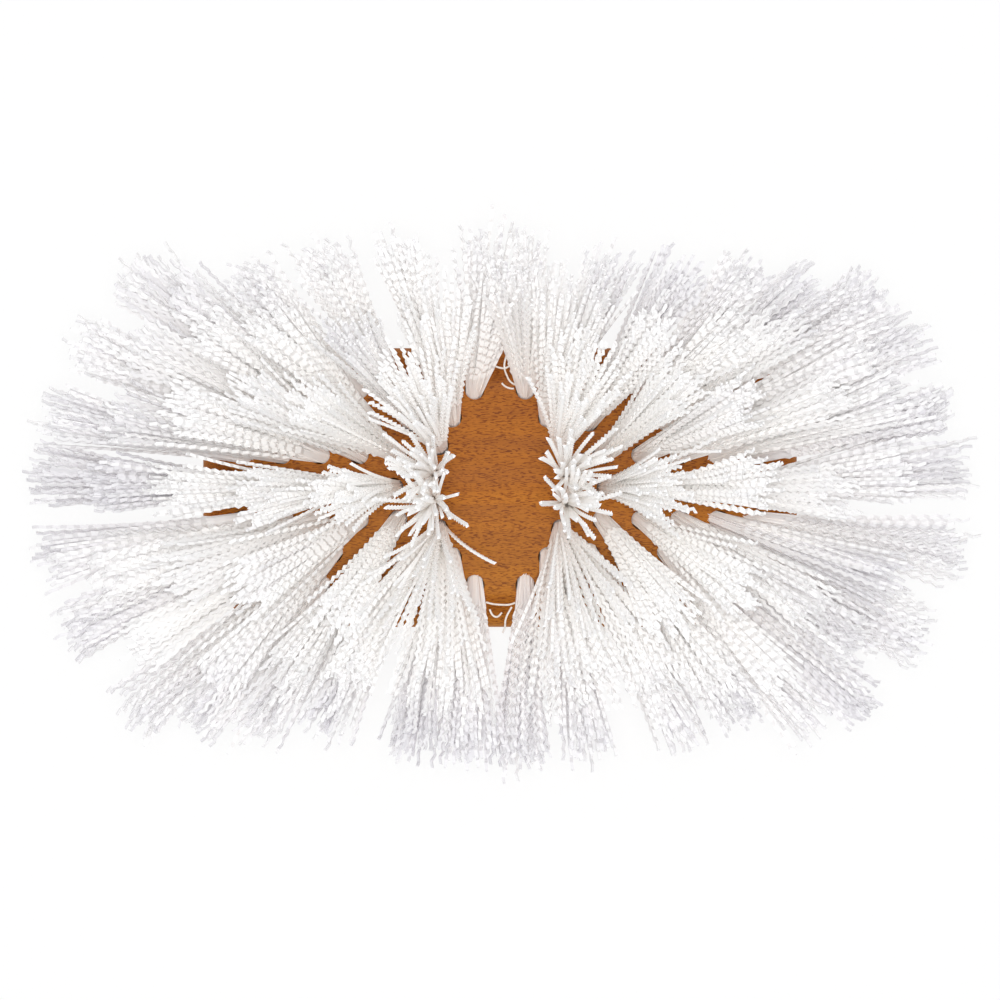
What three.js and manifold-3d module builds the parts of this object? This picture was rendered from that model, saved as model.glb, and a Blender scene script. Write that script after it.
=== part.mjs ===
// A deck brush head: one beech block with a slanting handle socket bored into its back, and tufts of
// stiff white bristle stapled into holes in its face. It lies on its back with the bristles up.
// Millimetres. The origin is the middle of the flat back, +X runs along the block and +Z up the bristles.

import * as THREE from 'three';
import { mergeVertices } from 'three/addons/utils/BufferGeometryUtils.js';
import Module from 'manifold-3d';

// The block: a rounded oblong with an eased back and a face that rolls over into its sides.
const BLOCK_LENGTH = 200;
const BLOCK_WIDTH = 94;
const BLOCK_HEIGHT = 34;
const CORNER_RADIUS = 28;
const BACK_ROUND = 5;
const SHOULDER_RUN = 13;
const SHOULDER_DROP = 10;

// The handle socket: a tapered blind hole that slants across the block.
const SOCKET_MOUTH_DIAMETER = 25;
const SOCKET_END_DIAMETER = 22;
const SOCKET_DEPTH = 27;
const SOCKET_TILT = 40;

// The bare lens over the socket: two arcs of one radius, which the innermost tufts follow.
const LENS_HALF_WIDTH = 22.5;
const LENS_HALF_LENGTH = 39;

// The tufting. The inner tufts stand along the lens, and the outer ones in rows that start beyond them.
const TUFT_DIAMETER = 6.4;
const TUFT_PITCH = 13;
const INNER_PITCH = 9.35;
const ROW_PITCH = 11;
const TUFT_EDGE = 11.5;
const HOLE_DEPTH = 10;

// The wire staple that holds a tuft's fold: flat, and driven into the wood below the hole.
const STAPLE_WIDTH = 3.6;
const STAPLE_WIRE = 1;
const STAPLE_BITE = 3;

// The bristles. Beside the lens they stand upright, and towards the edges they lean out more and more.
const BRISTLE_LENGTH = 68;
const STRAND_RADIUS = 1;
const STRANDS_PER_TUFT = 4;
const STRAND_RING_RADIUS = 1.9;
const FAN = 5;
const LEAN_AT_ENDS = 61;
const LEAN_AT_SIDES = 45;
const UPRIGHT_HALF_LENGTH = 20;
const UPRIGHT_HALF_WIDTH = 4.5;
const LEAN_RISE_ENDS = 0.85;
const LEAN_RISE_SIDES = 0.45;
const HOLE_LEAN_SHARE = 0.5;

// Each field of tufts carries a slice of the block's face, let into a pocket.
const SLICE = 2.4;
const FIELD_INSET = 6;
const FIELD_MARGIN = 1.2;
const MIDDLE_RIB = 3;
const FIT = 0.3;

const BEECH = 0xae6c38;
const BRISTLE_WHITE = 0xf4f1ec;

// How round things are drawn.
const CORNER_STEPS = 3;
const EDGE_STEPS = 4;
const SOCKET_SIDES = 28;
const LENS_SIDES = 72;
const HOLE_SIDES = 6;
const STRAND_SIDES = 3;

const HALF_LENGTH = BLOCK_LENGTH / 2;
const HALF_WIDTH = BLOCK_WIDTH / 2;
const LENS_RADIUS = (LENS_HALF_WIDTH ** 2 + LENS_HALF_LENGTH ** 2) / (2 * LENS_HALF_WIDTH);
const LENS_CENTRE = LENS_HALF_WIDTH - LENS_RADIUS;

const UP = new THREE.Vector3(0, 0, 1);
const radians = THREE.MathUtils.degToRad;

const wasm = await Module();
wasm.setup();

// A closed geometry as a solid that can be joined and cut.
function solid(geometry) {
  const bare = geometry.clone().deleteAttribute('normal').deleteAttribute('uv');
  const merged = mergeVertices(bare, 1e-4);
  const vertProperties = new Float32Array(merged.attributes.position.array);
  const triVerts = new Uint32Array(merged.index.array);
  return new wasm.Manifold(new wasm.Mesh({ numProp: 3, vertProperties, triVerts }));
}

function geometryOf(made) {
  const { vertProperties, triVerts } = made.getMesh();
  const geometry = new THREE.BufferGeometry();
  geometry.setAttribute('position', new THREE.BufferAttribute(vertProperties, 3));
  geometry.setIndex(new THREE.BufferAttribute(triVerts, 1));
  return geometry;
}

const joined = (solids) => solids.reduce((whole, piece) => whole.add(piece));
const halfTurn = (geometry) => geometry.clone().rotateZ(Math.PI);

// Stands a geometry that was made along +Z on a point, facing a direction.
function place(geometry, point, direction) {
  const turn = new THREE.Quaternion().setFromUnitVectors(UP, direction);
  return geometry.applyQuaternion(turn).translate(point.x, point.y, point.z);
}

// A cylinder or cone along +Z whose first end is at z.
function upright(endRadius, startRadius, length, sides, z = 0) {
  const cylinder = new THREE.CylinderGeometry(endRadius, startRadius, length, sides);
  return cylinder.rotateX(Math.PI / 2).translate(0, 0, z + length / 2);
}

// The block's outline drawn in by inset, as an anticlockwise shape.
function outline(inset) {
  const x = HALF_LENGTH - CORNER_RADIUS;
  const y = HALF_WIDTH - CORNER_RADIUS;
  const radius = CORNER_RADIUS - inset;
  const corners = [[x, y], [-x, y], [-x, -y], [x, -y]];
  const shape = new THREE.Shape();
  corners.forEach(([cx, cy], quarter) => {
    shape.absarc(cx, cy, radius, quarter * Math.PI / 2, (quarter + 1) * Math.PI / 2);
  });
  return shape;
}

// A closed geometry through a stack of convex rings with the same number of points each.
function loft(rings) {
  const count = rings[0].length;
  const positions = rings.flatMap((ring) => ring.flatMap((point) => point.toArray()));
  const index = [];
  for (let low = 0; low < positions.length / 3 - count; low += count) {
    for (let i = 0; i < count; i += 1) {
      const a = low + i;
      const b = low + (i + 1) % count;
      index.push(a, b, b + count, a, b + count, a + count);
    }
  }
  const top = (rings.length - 1) * count;
  for (let i = 1; i < count - 1; i += 1) {
    index.push(i + 1, i, 0, top, top + i, top + i + 1);
  }
  const geometry = new THREE.BufferGeometry();
  geometry.setAttribute('position', new THREE.Float32BufferAttribute(positions, 3));
  return geometry.setIndex(index);
}

// The whole block before anything is cut: eased at the back, rolled over at the face.
function blank() {
  const quarter = Array.from({ length: EDGE_STEPS + 1 }, (_, i) => i / EDGE_STEPS * Math.PI / 2);
  const section = (inset, z) => {
    const ring = outline(inset).getPoints(CORNER_STEPS).slice(0, -1);
    return ring.map((point) => new THREE.Vector3(point.x, point.y, z));
  };
  const back = quarter.map((angle) =>
    section(BACK_ROUND * (1 - Math.sin(angle)), BACK_ROUND * (1 - Math.cos(angle))));
  const shoulderFoot = BLOCK_HEIGHT - SHOULDER_DROP;
  const shoulder = quarter.map((angle) =>
    section(SHOULDER_RUN * (1 - Math.cos(angle)), shoulderFoot + SHOULDER_DROP * Math.sin(angle)));
  return solid(loft([...back, ...shoulder]));
}

// The socket's cutter, long enough past the mouth to clear the back all round.
function socket() {
  const tilt = radians(SOCKET_TILT);
  const mouth = SOCKET_MOUTH_DIAMETER / 2;
  const end = SOCKET_END_DIAMETER / 2;
  const overrun = SOCKET_MOUTH_DIAMETER;
  const startRadius = mouth + (mouth - end) * overrun / SOCKET_DEPTH;
  const cone = upright(end, startRadius, SOCKET_DEPTH + overrun, SOCKET_SIDES, -overrun);
  const reach = SOCKET_DEPTH * Math.sin(tilt) + end * Math.cos(tilt);
  const mouthReach = mouth / Math.cos(tilt);
  const axis = new THREE.Vector3(0, Math.sin(tilt), Math.cos(tilt));
  return solid(place(cone, new THREE.Vector3(0, (mouthReach - reach) / 2, 0), axis));
}

const lensEdge = (y) => LENS_CENTRE + Math.sqrt(LENS_RADIUS ** 2 - y ** 2);

// True where a tuft still has TUFT_EDGE of wood between its middle and the block's outline.
function fits(x, y) {
  const cornerX = HALF_LENGTH - CORNER_RADIUS;
  const cornerY = HALF_WIDTH - CORNER_RADIUS;
  const past = Math.hypot(Math.max(0, x - cornerX), Math.max(0, Math.abs(y) - cornerY));
  return past <= CORNER_RADIUS - TUFT_EDGE;
}

// The tufts right of the middle that stand along the lens.
function innerTufts() {
  const tufts = [];
  for (let y = INNER_PITCH / 2; y <= HALF_WIDTH - TUFT_EDGE; y += INNER_PITCH) {
    tufts.push({ x: lensEdge(y), y }, { x: lensEdge(y), y: -y });
  }
  return tufts;
}

// The tufts right of the middle that stand in rows, from beyond the inner ones to the block's end.
function outerTufts() {
  const tufts = [];
  const rows = Math.floor((HALF_WIDTH - TUFT_EDGE) / ROW_PITCH);
  for (let row = -rows; row <= rows; row += 1) {
    const y = row * ROW_PITCH;
    for (let x = lensEdge(y) + TUFT_PITCH; fits(x, y); x += TUFT_PITCH) {
      tufts.push({ x, y });
    }
  }
  return tufts;
}

// The lean along one axis, in degrees, at a distance from the middle.
function lean(distance, start, edge, most, rise) {
  const share = Math.max(0, Math.abs(distance) - start) / (edge - start);
  return Math.sign(distance) * most * share ** rise;
}

// Which way a tuft points, or its hole if only a share of the lean is drilled.
function direction({ x, y }, share = 1) {
  const edgeX = HALF_LENGTH - TUFT_EDGE;
  const edgeY = HALF_WIDTH - TUFT_EDGE;
  const startX = UPRIGHT_HALF_LENGTH * (1 - Math.abs(y) / HALF_WIDTH);
  const leanX = lean(x, startX, edgeX, LEAN_AT_ENDS, LEAN_RISE_ENDS);
  const leanY = lean(y, UPRIGHT_HALF_WIDTH, edgeY, LEAN_AT_SIDES, LEAN_RISE_SIDES);
  const slopes = [leanX, leanY].map((degrees) => Math.tan(radians(degrees * share)));
  return new THREE.Vector3(slopes[0], slopes[1], 1).normalize();
}

// The corners of an even polygon.
function polygon(sides, radius) {
  return Array.from({ length: sides }, (_, i) => {
    const angle = i / sides * 2 * Math.PI;
    return new THREE.Vector3(radius * Math.cos(angle), radius * Math.sin(angle), 0);
  });
}

// A straight bar through sections square to its way, the first of them sheared level.
function bar(way, stations) {
  const turn = new THREE.Quaternion().setFromUnitVectors(UP, way);
  const rings = stations.map(({ section, at }) =>
    section.map((corner) => corner.clone().applyQuaternion(turn).add(at)));
  const level = stations[0].at.z;
  rings[0].forEach((corner) => corner.addScaledVector(way, (level - corner.z) / way.z).setZ(level));
  return solid(loft(rings));
}

// The folded root of a tuft in its hole, narrowing onto the staple. The hole is larger by play all round.
function root(tuft, play) {
  const way = direction(tuft, HOLE_LEAN_SHARE).negate();
  const face = new THREE.Vector3(tuft.x, tuft.y, BLOCK_HEIGHT);
  const along = (depth) => face.clone().addScaledVector(way, depth);
  const radius = TUFT_DIAMETER / 2 - FIT + play;
  const bundle = polygon(HOLE_SIDES, radius);
  const flatten = new THREE.Vector3(STAPLE_WIDTH / 2 + play, STAPLE_WIRE / 2 + play, 0).divideScalar(radius);
  const staple = bundle.map((corner) => corner.clone().multiply(flatten));
  return bar(way, [
    { section: bundle, at: along((SLICE + play) / -way.z) },
    { section: bundle, at: along(HOLE_DEPTH + play) },
    { section: staple, at: along(HOLE_DEPTH + STAPLE_BITE + play) },
  ]);
}

// The bristles of one tuft: strands that stand in a ring in the slice and spread towards their cut ends.
function strands(tuft) {
  const tuftWay = direction(tuft);
  const turn = new THREE.Quaternion().setFromUnitVectors(UP, tuftWay);
  const section = polygon(STRAND_SIDES, STRAND_RADIUS);
  return polygon(STRANDS_PER_TUFT, STRAND_RING_RADIUS).map((offset) => {
    const aside = offset.applyQuaternion(turn);
    const way = aside.clone().setLength(Math.tan(radians(FAN))).add(tuftWay).normalize();
    const base = new THREE.Vector3(tuft.x, tuft.y, BLOCK_HEIGHT).add(aside);
    const foot = base.clone().addScaledVector(way, -(aside.z + SLICE / 2) / way.z);
    return bar(way, [{ section, at: foot }, { section, at: base.addScaledVector(way, BRISTLE_LENGTH) }]);
  });
}

// A prism of a shape from one height to another.
function prism(shape, low, high) {
  const settings = { depth: high - low, bevelEnabled: false, curveSegments: CORNER_STEPS };
  return solid(new THREE.ExtrudeGeometry(shape, settings).translate(0, 0, low));
}

// A cylinder about the centre of the lens's right-hand arc, through the whole face.
function lensCylinder(radius) {
  const cylinder = upright(radius, radius, BLOCK_HEIGHT, LENS_SIDES, BLOCK_HEIGHT / 2);
  return solid(cylinder.translate(LENS_CENTRE, 0, 0));
}

// The right-hand part of the face that the tufts stand in, down to a depth and larger by play.
function field(depth, play) {
  const top = BLOCK_HEIGHT + SLICE;
  const low = BLOCK_HEIGHT - depth;
  const middle = new THREE.BoxGeometry(BLOCK_LENGTH, BLOCK_WIDTH, 2 * BLOCK_HEIGHT);
  middle.translate(MIDDLE_RIB / 2 - play - HALF_LENGTH, 0, BLOCK_HEIGHT);
  const island = lensCylinder(LENS_RADIUS - TUFT_DIAMETER / 2 - FIELD_MARGIN - play);
  return prism(outline(FIELD_INSET - play), low, top).subtract(solid(middle)).subtract(island);
}

const whole = blank();
const inner = innerTufts();
const outer = outerTufts();
const split = LENS_RADIUS + TUFT_DIAMETER / 2 + FIELD_MARGIN;
const slice = field(SLICE, 0).intersect(whole);

// A field's slice with the roots and bristles of its tufts, all in one.
function tuftField(plate, tufts) {
  const roots = tufts.map((tuft) => root(tuft, 0));
  return geometryOf(joined([plate, ...roots, ...tufts.flatMap(strands)]));
}

// The block with its pockets, tuft holes and socket cut.
function block() {
  const pocket = field(SLICE + FIT, FIT);
  const holes = [...inner, ...outer].map((tuft) => root(tuft, FIT));
  const cut = geometryOf(joined([pocket, ...holes]));
  return geometryOf(whole.subtract(solid(cut)).subtract(solid(halfTurn(cut))).subtract(socket()));
}

function mesh(name, geometry, material, turn = 0) {
  const made = new THREE.Mesh(geometry, material);
  made.name = name;
  made.rotation.z = turn;
  return made;
}

const wood = () => new THREE.MeshStandardMaterial({ color: BEECH, roughness: 0.42, metalness: 0 });
const bristle = () => new THREE.MeshStandardMaterial({ color: BRISTLE_WHITE, roughness: 0.5, metalness: 0 });

const innerField = tuftField(slice.intersect(lensCylinder(split)), inner);
const outerField = tuftField(slice.subtract(lensCylinder(split + FIT)), outer);

const brush = new THREE.Group();
brush.name = 'deck_brush';
brush.add(
  mesh('block', block(), wood()),
  mesh('inner_tufts_right', innerField, bristle()),
  mesh('inner_tufts_left', innerField, bristle(), Math.PI),
  mesh('outer_tufts_right', outerField, bristle()),
  mesh('outer_tufts_left', outerField, bristle(), Math.PI),
);

export default brush;
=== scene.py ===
import math

import bmesh
import bpy
import numpy as np
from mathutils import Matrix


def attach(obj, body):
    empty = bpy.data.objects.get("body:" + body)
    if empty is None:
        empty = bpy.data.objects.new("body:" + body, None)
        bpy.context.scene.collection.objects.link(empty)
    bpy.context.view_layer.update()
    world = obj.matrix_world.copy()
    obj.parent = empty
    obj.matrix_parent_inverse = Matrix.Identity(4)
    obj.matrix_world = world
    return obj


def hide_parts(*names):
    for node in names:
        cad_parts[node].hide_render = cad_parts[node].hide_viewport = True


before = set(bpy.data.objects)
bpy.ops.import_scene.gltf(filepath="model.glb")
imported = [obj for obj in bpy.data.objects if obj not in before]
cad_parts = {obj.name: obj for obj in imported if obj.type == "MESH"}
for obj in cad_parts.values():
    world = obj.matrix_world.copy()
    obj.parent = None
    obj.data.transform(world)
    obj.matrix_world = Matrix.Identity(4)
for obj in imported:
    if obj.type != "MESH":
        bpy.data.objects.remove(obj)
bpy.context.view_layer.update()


# The block is one piece of beech, moulded all round: its back edge is eased, and its tufted face
# rolls over into the sides. A tapered socket for the handle is bored into the back on the slant.
BLOCK_LENGTH, BLOCK_WIDTH, BLOCK_HEIGHT = 0.200, 0.094, 0.034
CORNER_RADIUS = 0.028
BACK_EASE = 0.005
ROLL_IN, ROLL_DOWN = 0.013, 0.010
CORNER_STEPS, ROLL_STEPS, EASE_STEPS = 14, 12, 7

bpy.ops.object.select_all(action="DESELECT")
side_height = BLOCK_HEIGHT - ROLL_DOWN - BACK_EASE
bpy.ops.mesh.primitive_cube_add(
    size=1,
    location=(0, 0, BACK_EASE + side_height / 2),
    scale=(BLOCK_LENGTH, BLOCK_WIDTH, side_height),
)
block = bpy.context.object
block.name = "beech_block"
bpy.ops.object.transform_apply(location=True, rotation=True, scale=True)
bpy.ops.object.mode_set(mode="EDIT")


def choose(kind, wanted):
    """Selects the edges or faces of the mesh in edit mode that pass a test."""
    bpy.ops.mesh.select_mode(type=kind)
    bpy.ops.mesh.select_all(action="DESELECT")
    mesh = bpy.context.object.data
    edit = bmesh.from_edit_mesh(mesh)
    for item in edit.edges if kind == "EDGE" else edit.faces:
        item.select_set(wanted(item))
    edit.select_flush_mode()
    bmesh.update_edit_mesh(mesh)


choose("EDGE", lambda e: abs(e.verts[0].co.z - e.verts[1].co.z) > side_height / 2)
bpy.ops.mesh.bevel(offset=CORNER_RADIUS, offset_type="OFFSET", segments=CORNER_STEPS, profile=0.5)


def roll_over(steps, run, drop):
    """Rounds the edge of the selected face by insets that follow a quarter of an ellipse."""
    angles = [i / steps * math.pi / 2 for i in range(steps + 1)]
    for low, high in zip(angles, angles[1:]):
        bpy.ops.mesh.inset(
            thickness=run * (math.cos(low) - math.cos(high)),
            depth=drop * (math.sin(high) - math.sin(low)),
        )


choose("FACE", lambda f: f.normal.z > 0.9)
roll_over(ROLL_STEPS, ROLL_IN, ROLL_DOWN)
choose("FACE", lambda f: f.normal.z < -0.9)
roll_over(EASE_STEPS, BACK_EASE, BACK_EASE)
bpy.ops.object.mode_set(mode="OBJECT")

# The handle socket is a tapered blind bore, cut into the back on the slant under the bare lens. The
# sharp edge of its mouth is broken, and the end of a handle is driven in there.
SOCKET_MOUTH, SOCKET_END, SOCKET_DEPTH = 0.0125, 0.011, 0.027
SOCKET_TILT = math.radians(40)
OVERRUN = 0.025
SOCKET_SIDES = 72
MOUTH_BREAK, BREAK_STEPS = 0.0009, 3
MOUTH_REACH_X, MOUTH_REACH_Y = 0.014, 0.03
ON_BACK, MOUTH_EDGE = 1e-5, 0.004

socket_reach = SOCKET_DEPTH * math.sin(SOCKET_TILT) + SOCKET_END * math.cos(SOCKET_TILT)
socket_y = (SOCKET_MOUTH / math.cos(SOCKET_TILT) - socket_reach) / 2
half_way = (SOCKET_DEPTH - OVERRUN) / 2
bpy.ops.object.select_all(action="DESELECT")
bpy.ops.mesh.primitive_cone_add(
    vertices=SOCKET_SIDES,
    radius1=SOCKET_MOUTH + (SOCKET_MOUTH - SOCKET_END) * OVERRUN / SOCKET_DEPTH,
    radius2=SOCKET_END,
    depth=SOCKET_DEPTH + OVERRUN,
    location=(0, socket_y + half_way * math.sin(SOCKET_TILT), half_way * math.cos(SOCKET_TILT)),
    rotation=(-SOCKET_TILT, 0, 0),
)
socket_drill = bpy.context.object


def drill(cutter):
    """Cuts one shape out of the block and takes the cutter away."""
    cut = block.modifiers.new("cut", "BOOLEAN")
    cut.operation = "DIFFERENCE"
    cut.solver = "EXACT"
    cut.object = cutter
    bpy.ops.object.select_all(action="DESELECT")
    bpy.context.view_layer.objects.active = block
    block.select_set(True)
    bpy.ops.object.modifier_apply(modifier=cut.name)
    bpy.data.objects.remove(cutter)


def on_mouth(point):
    """True for a point of the socket's mouth in the flat of the back."""
    x, y, z = (abs(v) for v in point.co)
    return x < MOUTH_REACH_X and y < MOUTH_REACH_Y and z < ON_BACK


drill(socket_drill)
bpy.ops.object.mode_set(mode="EDIT")
choose("EDGE", lambda e: all(map(on_mouth, e.verts)) and e.calc_length() < MOUTH_EDGE)
bpy.ops.mesh.bevel(offset=MOUTH_BREAK, segments=BREAK_STEPS)
bpy.ops.object.mode_set(mode="OBJECT")

# The tuft holes: one ring of them along each side of the bare lens, then rows out to the ends.
# They are bored a little on the slant, so that the tufts fan out from the middle. Leans are in
# degrees, and the far side is the one towards +Y.
TUFT_RADIUS = 0.0033
TUFT_PITCH, INNER_PITCH, ROW_PITCH = 0.013, 0.00935, 0.011
TUFT_EDGE = 0.0115
HOLE_DEPTH, HOLE_SIDES, HOLE_LEAN = 0.010, 20, 0.5
LENS_HALF_WIDTH, LENS_HALF_LENGTH = 0.0225, 0.039
LEAN_AT_ENDS, LEAN_RISE_ENDS = 61, 0.85
LEAN_FAR_SIDE, LEAN_NEAR_SIDE, LEAN_RISE_SIDES = 37, 49, 0.45
UPRIGHT_X, UPRIGHT_Y = 0.021, 0.0045
CLOSING_FAR, CLOSING_NEAR, CLOSING_REACH = 18, 8, 0.014
CORNER_HOLD, CORNER_X, CORNER_Y = 0.08, 0.075, 0.033

lens_radius = (LENS_HALF_WIDTH**2 + LENS_HALF_LENGTH**2) / (2 * LENS_HALF_WIDTH)


def lens_edge(y):
    """How far the edge of the bare lens is from the middle of the block."""
    return LENS_HALF_WIDTH - lens_radius + math.sqrt(lens_radius**2 - y**2)


def in_wood(x, y):
    """True where a tuft still has enough wood between it and the block's outline."""
    past_x = max(0, x - BLOCK_LENGTH / 2 + CORNER_RADIUS)
    past_y = max(0, abs(y) - BLOCK_WIDTH / 2 + CORNER_RADIUS)
    return math.hypot(past_x, past_y) <= CORNER_RADIUS - TUFT_EDGE


inner_ys = [sign * INNER_PITCH * (i + 0.5) for i in range(4) for sign in (1, -1)]
holes = {}
for half, side in (("right", 1), ("left", -1)):
    holes[half, "lens"] = [(side * lens_edge(y), y) for y in inner_ys]
    for row in range(-3, 4):
        y = row * ROW_PITCH
        start = lens_edge(y) + TUFT_PITCH
        xs = [start + i * TUFT_PITCH for i in range(8)]
        holes[half, f"row_{row + 4}"] = [(side * x, y) for x in xs if in_wood(x, y)]


def lean_of(distance, start, edge, most, rise):
    """The lean along one axis at a distance from the middle, in radians."""
    share = max(0.0, abs(distance) - start) / (edge - start)
    return math.copysign(math.radians(most) * share**rise, distance)


def way_of(x, y, share=1.0):
    """Which way the tuft at a hole points, or the hole itself for half of the lean."""
    far = y > 0
    start_x = UPRIGHT_X * (1 - abs(y) / (BLOCK_WIDTH / 2))
    lean_x = lean_of(x, start_x, BLOCK_LENGTH / 2 - TUFT_EDGE, LEAN_AT_ENDS, LEAN_RISE_ENDS)
    closing = math.radians(CLOSING_FAR if far else CLOSING_NEAR)
    lean_x -= math.copysign(closing * max(0.0, 1 - abs(x) / CLOSING_REACH), x)
    most_y = LEAN_FAR_SIDE if far else LEAN_NEAR_SIDE
    lean_y = lean_of(y, UPRIGHT_Y, BLOCK_WIDTH / 2 - TUFT_EDGE, most_y, LEAN_RISE_SIDES)
    share *= 1 - CORNER_HOLD * min(1, abs(x) / CORNER_X) * max(0, y) / CORNER_Y
    way = np.array([math.tan(lean_x * share), math.tan(lean_y * share), 1.0])
    return way / np.linalg.norm(way)


bpy.ops.object.select_all(action="DESELECT")
bpy.ops.mesh.primitive_plane_add(size=0.001, location=(0, 0, 0.2))
hole_drill = bpy.context.object
bpy.ops.object.mode_set(mode="EDIT")
bpy.ops.mesh.delete(type="VERT")
for x, y in (spot for group in holes.values() for spot in group):
    way = way_of(x, y, HOLE_LEAN)
    middle = np.array([x, y, BLOCK_HEIGHT]) - way * HOLE_DEPTH / 4
    bpy.ops.mesh.primitive_cylinder_add(
        vertices=HOLE_SIDES,
        radius=TUFT_RADIUS,
        depth=HOLE_DEPTH * 1.5,
        location=middle,
        rotation=(math.acos(way[2]), 0, math.atan2(way[0], -way[1])),
    )
bpy.ops.object.mode_set(mode="OBJECT")
bpy.ops.object.transform_apply(location=True, rotation=True, scale=True)
drill(hole_drill)
SHARP_FROM = math.radians(32)
bpy.ops.object.shade_smooth_by_angle(angle=SHARP_FROM)

# Beech under a brown stain and a thin satin varnish: long soft bands along the block, fine grain
# lines, and the short dark flecks of the wood's rays. The rolled edge is darker, partly from taking
# up more of the stain and partly painted shade where the face turns over.
EDGE_STAIN_AND_SHADE_FROM, EDGE_STAIN_AND_SHADE_TO = 0.020, 0.034
FACE_HALF_WIDTH = 0.036
GRAIN_BUMP, GRAIN_DEPTH = 0.25, 0.0002

beech = bpy.data.materials.new("stained_beech")
beech.use_nodes = True


def add_node(tree, kind, **settings):
    """A shader node with its settings; a setting with a capital first letter is an input socket."""
    made = tree.nodes.new(kind)
    for key, value in settings.items():
        if key[0].isupper():
            made.inputs[key.replace("_", " ")].default_value = value
        else:
            setattr(made, key, value)
    return made


def linear(red, green, blue):
    """A colour as it shows on screen, 0 to 255, as the linear colour that a shader takes."""
    values = [v / 255 for v in (red, green, blue)]
    return (*[v / 12.92 if v <= 0.04045 else ((v + 0.055) / 1.055) ** 2.4 for v in values], 1.0)


def ramp(tree, factor, *stops):
    """A colour ramp with its stops, fed by a factor."""
    made = tree.nodes.new("ShaderNodeValToRGB")
    elements = made.color_ramp.elements
    while len(elements) < len(stops):
        elements.new(0.5)
    for element, (place, colour) in zip(elements, stops):
        element.position = place
        element.color = colour
    tree.links.new(factor, made.inputs["Fac"])
    return made.outputs["Color"]


def mixed(tree, blend, amount, first, second):
    """Two colours mixed, the amount either a number or an output."""
    made = add_node(tree, "ShaderNodeMix", data_type="RGBA", blend_type=blend)
    for place, value in ((0, amount), (6, first), (7, second)):
        if isinstance(value, (int, float, tuple)):
            made.inputs[place].default_value = value
        else:
            tree.links.new(value, made.inputs[place])
    return made.outputs[2]


def noise(tree, place, scale, detail, rough=0.5):
    """Noise on object coordinates, stretched by a scale for each axis."""
    stretch = add_node(tree, "ShaderNodeMapping")
    stretch.inputs["Scale"].default_value = scale
    tree.links.new(place, stretch.inputs["Vector"])
    made = add_node(tree, "ShaderNodeTexNoise", Scale=1.0, Detail=detail, Roughness=rough)
    tree.links.new(stretch.outputs["Vector"], made.inputs["Vector"])
    return made.outputs["Fac"]


def share_of(tree, value, low, high):
    """How far a value has come from low to high, 0 to 1."""
    made = add_node(tree, "ShaderNodeMapRange", From_Min=low, From_Max=high)
    tree.links.new(value, made.inputs["Value"])
    return made.outputs[0]


tree = beech.node_tree
shader = tree.nodes["Principled BSDF"]
place = add_node(tree, "ShaderNodeTexCoord").outputs["Object"]
bands = noise(tree, place, (7, 75, 75), 3.0)
lines = noise(tree, place, (22, 900, 900), 3.0, 0.6)
flecks = noise(tree, place, (700, 3600, 3600), 0.0)
pores = noise(tree, place, (260, 5200, 5200), 0.0)
wood = ramp(
    tree,
    bands,
    (0.30, linear(168, 99, 25)),
    (0.50, linear(182, 110, 27)),
    (0.72, linear(195, 122, 34)),
)
grain = ramp(tree, lines, (0.3, (0.88, 0.85, 0.82, 1)), (0.6, (1, 1, 1, 1)))
rays = ramp(tree, flecks, (0.58, (1, 1, 1, 1)), (0.635, (0.52, 0.41, 0.34, 1)))
dots = ramp(tree, pores, (0.64, (1, 1, 1, 1)), (0.74, (0.72, 0.64, 0.58, 1)))
axes = add_node(tree, "ShaderNodeSeparateXYZ")
tree.links.new(place, axes.inputs[0])
# Part stain, part painted shade: darker on the sides and darkest in a band where the face rolls
# over.
edge_stain_and_shade = ramp(
    tree,
    share_of(tree, axes.outputs["Z"], EDGE_STAIN_AND_SHADE_FROM, EDGE_STAIN_AND_SHADE_TO),
    (0.0, (0.96, 0.95, 0.95, 1)),
    (0.55, (0.93, 0.9, 0.9, 1)),
    (0.88, (0.72, 0.62, 0.64, 1)),
    (0.985, (0.84, 0.78, 0.78, 1)),
    (1.0, (1, 1, 1, 1)),
)
# Painted light: the near side of the face, towards -Y, is painted lighter and more golden, and the
# far side darker.
painted_light_near_side = ramp(
    tree,
    share_of(tree, axes.outputs["Y"], -FACE_HALF_WIDTH, FACE_HALF_WIDTH),
    (0.0, (1.06, 1.18, 1.3, 1)),
    (0.5, (1, 1, 1, 1)),
    (1.0, (0.88, 0.85, 0.98, 1)),
)
for tint in (grain, rays, dots, edge_stain_and_shade, painted_light_near_side):
    wood = mixed(tree, "MULTIPLY", 1.0, wood, tint)
tree.links.new(wood, shader.inputs["Base Color"])
gloss = ramp(tree, bands, (0.3, (0.48, 0.48, 0.48, 1)), (0.7, (0.56, 0.56, 0.56, 1)))
tree.links.new(gloss, shader.inputs["Roughness"])
shader.inputs["Specular IOR Level"].default_value = 0.15
relief = add_node(tree, "ShaderNodeBump", Strength=GRAIN_BUMP, Distance=GRAIN_DEPTH)
tree.links.new(lines, relief.inputs["Height"])
tree.links.new(relief.outputs["Normal"], shader.inputs["Normal"])

block.data.materials.clear()
block.data.materials.append(beech)
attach(block, "root")
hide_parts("block")


# One bristle: a stiff white filament about a millimetre thick with a wavy crimp pressed into it,
# cut square at its end. It is drawn out ring by ring, straight from the fold in the hole to a
# little above the wood, and from there on with the crimp swinging from side to side.
FILAMENT_RADIUS = 0.00062
CRIMP_PITCH, CRIMP_SWING = 0.0044, 0.0004
HALF_WAVES = 26
BRISTLE_LENGTH = 0.068
SUNK = 0.008
UV_END, UV_CUT = 0.03, 0.008

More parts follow.
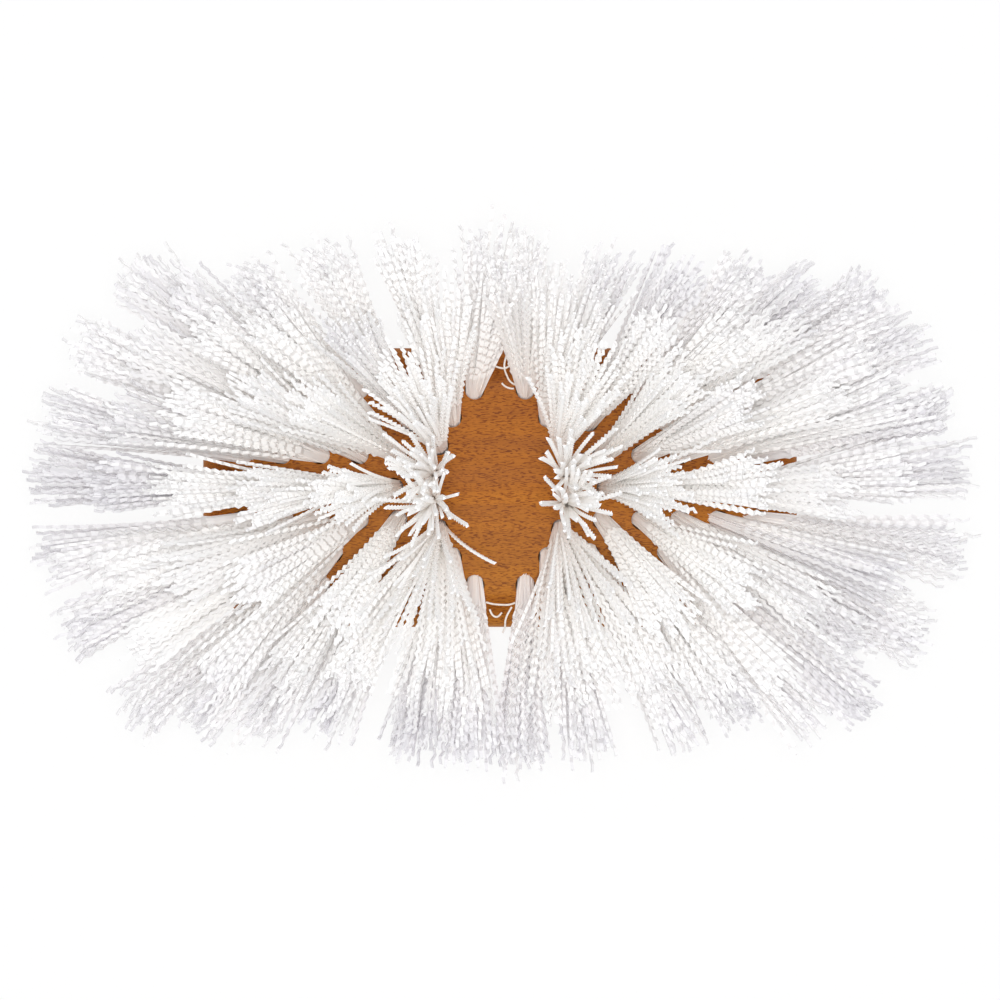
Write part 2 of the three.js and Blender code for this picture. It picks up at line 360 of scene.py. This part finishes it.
straight = BRISTLE_LENGTH + SUNK - HALF_WAVES * CRIMP_PITCH / 2
swings = [0.0, CRIMP_SWING / 2] + [CRIMP_SWING * (-1) ** i for i in range(1, HALF_WAVES + 1)]
rises = [straight] + [CRIMP_PITCH / 2] * HALF_WAVES
bpy.ops.object.select_all(action="DESELECT")
bpy.ops.mesh.primitive_circle_add(vertices=3, radius=FILAMENT_RADIUS, fill_type="NGON")
filament = bpy.context.object
bpy.ops.object.mode_set(mode="EDIT")
bpy.ops.mesh.select_all(action="SELECT")
for before, after, rise in zip(swings, swings[1:], rises):
    bpy.ops.mesh.extrude_region_move(TRANSFORM_OT_translate={"value": (after - before, 0, rise)})
bpy.ops.mesh.select_all(action="SELECT")
bpy.ops.mesh.normals_make_consistent(inside=False)
bpy.ops.object.mode_set(mode="OBJECT")

shape = filament.data
filament_points = np.array([v.co for v in shape.vertices])
filament_faces = [list(p.vertices) for p in shape.polygons]
bpy.data.objects.remove(filament)

# Where each corner of the filament lies on its own strip of the UV map: along it, and round it.
heights = np.concatenate([[0.0], np.cumsum(rises)])
along = filament_points[:, 2] / heights[-1]
ring = np.abs(filament_points[:, 2, None] - heights).argmin(axis=1)
across = np.arctan2(filament_points[:, 1], filament_points[:, 0] - np.array(swings)[ring])
corner = np.rint(across / (2 * math.pi / 3)).astype(int) % 3
filament_uvs = []
for face in filament_faces:
    wraps = len(face) == 4 and set(corner[face]) == {0, 2}
    for point in face:
        u, v = UV_END + (1 - 2 * UV_END) * along[point], corner[point] / 3
        if len(face) == 3:
            u += UV_CUT * (corner[point] + 0.5) * (1 if u > 0.5 else -1)
        filament_uvs.append((u, 1.0 if wraps and corner[point] == 0 else v))
filament_uvs = np.array(filament_uvs)

# A tuft is a bundle of these bristles folded over a staple and driven into its hole. Packed tight
# at the hole, it opens like a small fan, with a few bristles astray and the cut ends ragged. The
# four at the waist of the lens are thin and nearly upright, so that they look like stars.
BRISTLES_PER_TUFT, BRISTLES_PER_STAR = 64, 36
GOLDEN_ANGLE = 2.39996
ROOT_SPREAD = 0.74
FAN, LEAST_FAN, MOST_FAN = 0.046, 0.8, 1.3
FAN_AT_LENS, FAN_OF_STARS = 0.24, 0.06
FAN_ELSEWHERE, FAN_FAR_SIDE = 0.06, 0.4
FAN_FROM_Y, FAN_OVER_Y = 0.014, 0.023
FLARE, BOW, RAGGED, TRIMMED = 0.0017, 0.0016, 0.0024, 0.001
STRAYS, STRAY_LEAN, USUAL_LEAN = 0.08, 0.075, 0.02
STAR_X, STAR_Y, STAR_LEAN = 0.025, 0.008, 0.4
STAR_UNEVEN, TUFT_UNEVEN, ROLL_UNEVEN = 0.015, 0.045, 0.5
INNER_TONE, OUTER_PAINTED_SHADE, FAR_PAINTED_LIGHT, FAR_HALF_LENGTH = 0.9, 0.65, 4, 0.1
TUFT_TONE_UNEVEN, TONE_UNEVEN = 0.08, 0.12
STRIP_WIDTH = 0.86

chance = np.random.default_rng(11)


def square_to(way):
    """Two directions across a way."""
    first = np.cross(way, (0.0, 1.0, 0.0) if abs(way[1]) < 0.9 else (1.0, 0.0, 0.0))
    first /= np.linalg.norm(first)
    return first, np.cross(way, first)


def bristle(x, y, tuft_way, offset, fan, roll):
    """The points of one bristle: spread from its tuft's middle, rolled and slightly bowed."""
    e1, e2 = square_to(tuft_way)
    aside = (e1 * offset[0] + e2 * offset[1]) / TUFT_RADIUS
    astray = STRAY_LEAN if chance.random() < STRAYS else USUAL_LEAN
    way = tuft_way + aside * fan + chance.normal(0, astray, 3)
    way /= np.linalg.norm(way)
    e1, e2 = square_to(way)
    turn1 = e1 * math.cos(roll) + e2 * math.sin(roll)
    turn2 = e2 * math.cos(roll) - e1 * math.sin(roll)
    root = np.array([x, y, BLOCK_HEIGHT]) + aside * TUFT_RADIUS * ROOT_SPREAD
    bow = aside * FLARE + e1 * chance.normal(0, BOW) + e2 * chance.normal(0, BOW)
    length = BRISTLE_LENGTH + SUNK - TRIMMED + chance.normal(0, RAGGED)
    out = along * length - SUNK
    bend = (np.maximum(out, 0) / BRISTLE_LENGTH) ** 2
    points = root + np.outer(out, way) + np.outer(bend, bow)
    return points + np.outer(filament_points[:, 0], turn1) + np.outer(filament_points[:, 1], turn2)


def tufts(name, spots):
    """One piece of several tufts, each bristle a copy of the filament."""
    clumps, tones_and_painted_light = [], []
    for x, y in spots:
        star = abs(y) < STAR_Y and abs(x) < STAR_X
        tuft_way = way_of(x, y, STAR_LEAN if star else 1.0)
        tuft_way += chance.normal(0, STAR_UNEVEN if star else TUFT_UNEVEN, 3)
        tuft_way /= np.linalg.norm(tuft_way)
        tuft_roll = chance.uniform(0, 2 * math.pi)
        outer_x = abs(x) / (BLOCK_LENGTH / 2 - TUFT_EDGE)
        outer_y = abs(y) / (BLOCK_WIDTH / 2 - TUFT_EDGE)
        # Painted light in the tone: the outer tufts are painted greyer as shade and the far-side
        # tufts lighter as light; the random spread of each tuft and bristle is the plastic's own.
        tuft_tone_and_painted_light = INNER_TONE - OUTER_PAINTED_SHADE * max(outer_x, outer_y) ** 2
        tuft_tone_and_painted_light += FAR_PAINTED_LIGHT * max(0, y) * (1 - abs(x) / FAR_HALF_LENGTH)
        tuft_tone_and_painted_light += chance.normal(0, TUFT_TONE_UNEVEN)
        beside_lens = 1 if abs(x) < lens_edge(y) + TUFT_PITCH / 2 else FAN_ELSEWHERE
        side_share = FAN_FAR_SIDE if y > 0 else 1 - (-y - FAN_FROM_Y) / FAN_OVER_Y
        wider = FAN_OF_STARS if star else FAN_AT_LENS * side_share
        fan = FAN * chance.uniform(LEAST_FAN, MOST_FAN) + wider * beside_lens
        bristles = BRISTLES_PER_STAR if star else BRISTLES_PER_TUFT
        for i in range(bristles):
            radius = TUFT_RADIUS * math.sqrt((i + 0.5) / bristles)
            angle = i * GOLDEN_ANGLE + tuft_roll
            offset = radius * math.cos(angle), radius * math.sin(angle)
            roll = tuft_roll + chance.normal(0, ROLL_UNEVEN)
            clumps.append(bristle(x, y, tuft_way, offset, fan, roll))
            tones_and_painted_light.append(tuft_tone_and_painted_light + chance.normal(0, TONE_UNEVEN))
    count, size = len(clumps), len(filament_points)
    faces = [[p + size * i for p in face] for i in range(count) for face in filament_faces]
    mesh = bpy.data.meshes.new(name)
    mesh.from_pydata(np.concatenate(clumps), [], faces)
    strip = mesh.uv_layers.new(name="OFBake")
    shift = np.repeat(np.arange(count), len(filament_uvs))
    uvs = np.tile(filament_uvs, (count, 1))
    uvs[:, 1] = (uvs[:, 1] * STRIP_WIDTH + (1 - STRIP_WIDTH) / 2 + shift) / count
    strip.data.foreach_set("uv", uvs.ravel())
    tone_and_painted_light = mesh.attributes.new("tone_and_painted_light", "FLOAT", "POINT")
    tone_and_painted_light.data.foreach_set("value", np.repeat(np.clip(tones_and_painted_light, 0, 1), size))
    reach = mesh.attributes.new("reach", "FLOAT", "POINT")
    reach.data.foreach_set("value", np.tile(along, count))
    piece = bpy.data.objects.new(name, mesh)
    bpy.context.scene.collection.objects.link(piece)
    return piece


# The bristle is a milky white plastic, drawn into filament and crimped. Its colour holds painted
# light: greyer in the outer tufts as painted shade, most of all towards their ends, lighter in the
# far-side tufts, warmer down among the roots as painted bounce from the wood, and greyer at the cut
# ends as painted shade, which are also rougher. Each tuft and bristle differs a little in tone at
# random.
plastic = bpy.data.materials.new("white_bristle")
plastic.use_nodes = True
tree = plastic.node_tree
shader = tree.nodes["Principled BSDF"]
strand_tone_and_painted_light = add_node(tree, "ShaderNodeAttribute", attribute_name="tone_and_painted_light").outputs["Fac"]
strand_reach = add_node(tree, "ShaderNodeAttribute", attribute_name="reach").outputs["Fac"]
white = ramp(
    tree,
    strand_tone_and_painted_light,
    (0.1, linear(243, 242, 243.5)),
    (0.3, linear(249, 248.3, 248.8)),
    (0.5, linear(253, 252.5, 252)),
    (0.9, linear(255, 254.7, 254)),
)
# Painted light along each bristle: warmer near the roots as painted bounce from the brown wood, and
# greyer towards the cut end as painted shade.
painted_root_bounce_and_tip_shade = ramp(
    tree,
    strand_reach,
    (0.10, (1, 0.985, 0.968, 1)),
    (0.26, (1, 0.996, 0.989, 1)),
    (0.55, (1, 0.999, 0.997, 1)),
    (0.93, (0.988, 0.987, 0.989, 1)),
    (1.0, (0.96, 0.96, 0.968, 1)),
)
# Painted shade: in the outer tufts, where the tone is low, the bristles are painted greyer towards
# their ends.
outer_end_shade = ramp(tree, strand_reach, (0.5, (1, 1, 1, 1)), (0.95, (0.932, 0.929, 0.937, 1)))
outer_share = ramp(tree, strand_tone_and_painted_light, (0.2, (1, 1, 1, 1)), (0.6, (0, 0, 0, 1)))
painted_shade_on_outer_ends = mixed(tree, "MIX", outer_share, (1, 1, 1, 1), outer_end_shade)
for tint in (painted_root_bounce_and_tip_shade, painted_shade_on_outer_ends):
    white = mixed(tree, "MULTIPLY", 1.0, white, tint)
tree.links.new(white, shader.inputs["Base Color"])
rubbed = ramp(tree, strand_reach, (0.2, (0.5, 0.5, 0.5, 1)), (1.0, (0.65, 0.65, 0.65, 1)))
tree.links.new(rubbed, shader.inputs["Roughness"])
shader.inputs["Specular IOR Level"].default_value = 0.2

for (half, row), spots in holes.items():
    piece = tufts(f"bristles_{half}_{row}", spots)
    piece.data.materials.append(plastic)
    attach(piece, "root")
    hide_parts(f"inner_tufts_{half}" if row == "lens" else f"outer_tufts_{half}")


# A few loose ends of thinner fibre, caught between the tufts when the block was filled. They lie
# in loops and single threads over the tips of the lens, held by the tufts on either side. Their
# points are in millimetres, the last number above the face of the block.
FIBRE_RADIUS = 0.00032
fibres = (
    ((5.6, 34.0, 0.5), (3.4, 34.6, 0.9), (2.3, 37.0, 1.6), (1.3, 39.4, 2.6), (1.5, 41.8, 2.2),
     (2.3, 44.5, 1.2), (3.4, 47.2, 0.2)),
    ((-1.4, 40.2, 1.2), (0.9, 39.2, 1.8), (3.3, 39.8, 1.8), (3.7, 42.6, 1.4), (2.6, 45.0, 0.9),
     (1.5, 47.5, -0.8)),
    ((0.6, 34.7, 0.4), (1.5, 33.4, 0.5), (3.4, 32.7, 0.4), (4.6, 32.9, 0.3)),
    ((-4.6, -38.2, 0.6), (-2.6, -38.9, 1.2), (1.0, -39.0, 1.4), (3.2, -39.2, 1.0),
     (5.0, -38.4, 0.4)),
    ((3.9, -39.8, 0.9), (2.3, -42.4, 0.6), (1.4, -44.8, -0.6), (1.9, -47.0, -2.4),
     (0.9, -48.6, -4.0)),
    ((-3.4, -40.6, 0.6), (-2.9, -42.2, 0.9), (-1.6, -43.4, 1.0), (-0.4, -43.0, 0.8),
     (0.6, -41.6, 0.7)),
)
line = bpy.data.curves.new("loose_fibres", "CURVE")
line.dimensions = "3D"
line.bevel_depth = FIBRE_RADIUS
line.bevel_resolution = 1
line.use_fill_caps = True
for path in fibres:
    spline = line.splines.new("NURBS")
    spline.points.add(len(path) - 1)
    spline.use_endpoint_u = True
    spline.resolution_u = 6
    for point, (x, y, above) in zip(spline.points, path):
        point.co = (x / 1000, y / 1000, BLOCK_HEIGHT + above / 1000, 1)
loose = bpy.data.objects.new("loose_fibres", line)
bpy.context.scene.collection.objects.link(loose)
bpy.ops.object.select_all(action="DESELECT")
loose.select_set(True)
bpy.context.view_layer.objects.active = loose
bpy.ops.object.convert(target="MESH")
bpy.ops.object.shade_smooth()
fluff = bpy.data.materials.new("white_fibre")
fluff.use_nodes = True
tree = fluff.node_tree
shader = tree.nodes["Principled BSDF"]
place = add_node(tree, "ShaderNodeTexCoord").outputs["Object"]
patches = noise(tree, place, (700, 700, 700), 2.0)
dull = ramp(tree, patches, (0.35, linear(238, 230, 221)), (0.65, linear(250, 246, 241)))
tree.links.new(dull, shader.inputs["Base Color"])
shader.inputs["Roughness"].default_value = 0.6
loose.data.materials.append(fluff)
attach(loose, "root")


# The head lies on its back on a plain white table, in soft light from all round and from a lamp
# above. The camera sees the table and the room as white, and the light on the head stays plain.
TABLE_SIZE, TABLE_GAP = 8, 0.0001
TABLE_WHITE = 0.85
ROOM_LIGHT = 0.68
VIEW_Y = -0.0042
LAMP_HEIGHT, LAMP_SIZE, LAMP_WATTS = 0.802, 0.12, 2.85

bpy.ops.object.select_all(action="DESELECT")
bpy.ops.mesh.primitive_plane_add(size=TABLE_SIZE, location=(0, 0, -TABLE_GAP))
table = bpy.context.object
table.name = "white_table"
paper = bpy.data.materials.new("white_paper")
paper.use_nodes = True
tree = paper.node_tree
shader = tree.nodes["Principled BSDF"]
shader.inputs["Base Color"].default_value = (0.99, 0.99, 0.99, 1)
shader.inputs["Roughness"].default_value = 0.9


def seen_directly(tree):
    """1 for what the camera sees, also mirrored or through glass, and 0 for light on the head."""
    path = add_node(tree, "ShaderNodeLightPath")
    seen = path.outputs["Is Camera Ray"]
    for ray in ("Is Glossy Ray", "Is Transmission Ray"):
        either = add_node(tree, "ShaderNodeMath", operation="MAXIMUM")
        tree.links.new(seen, either.inputs[0])
        tree.links.new(path.outputs[ray], either.inputs[1])
        seen = either.outputs[0]
    return seen


share = add_node(tree, "ShaderNodeMath", operation="MULTIPLY")
share.inputs[1].default_value = TABLE_WHITE
tree.links.new(seen_directly(tree), share.inputs[0])
plain_white = add_node(tree, "ShaderNodeEmission")
both = add_node(tree, "ShaderNodeMixShader")
for output, socket in ((share.outputs[0], 0), (shader.outputs[0], 1), (plain_white.outputs[0], 2)):
    tree.links.new(output, both.inputs[socket])
tree.links.new(both.outputs[0], tree.nodes["Material Output"].inputs["Surface"])
table.data.materials.append(paper)

world = bpy.data.worlds.new("soft_room")
bpy.context.scene.world = world
world.use_nodes = True
tree = world.node_tree
room = tree.nodes["Background"]
room.inputs["Color"].default_value = (1, 1, 1, 1)
brightness = add_node(tree, "ShaderNodeMapRange", To_Min=ROOM_LIGHT)
tree.links.new(seen_directly(tree), brightness.inputs["Value"])
tree.links.new(brightness.outputs[0], room.inputs["Strength"])

bpy.ops.object.light_add(type="AREA", location=(0, VIEW_Y, BLOCK_HEIGHT + LAMP_HEIGHT))
softbox = bpy.context.object
softbox.name = "softbox"
softbox.data.shape = "SQUARE"
softbox.data.size = LAMP_SIZE
softbox.data.energy = LAMP_WATTS

# The camera looks straight down on the bristles, from just below the lamp.
CAMERA_HEIGHT = 0.80
SENSOR_WIDTH, LENS_LENGTH = 36, 86.5
bpy.ops.object.camera_add(location=(0, VIEW_Y, BLOCK_HEIGHT + CAMERA_HEIGHT), rotation=(0, 0, 0))
camera = bpy.context.object
camera.data.sensor_width = SENSOR_WIDTH
camera.data.lens = LENS_LENGTH
camera.data.clip_start = 0.01
bpy.context.scene.camera = camera
bpy.context.scene.view_settings.view_transform = "Standard"

# White bristles light each other over and over, which takes many bounces.
bpy.context.scene.cycles.diffuse_bounces = 20
bpy.context.scene.cycles.max_bounces = 24
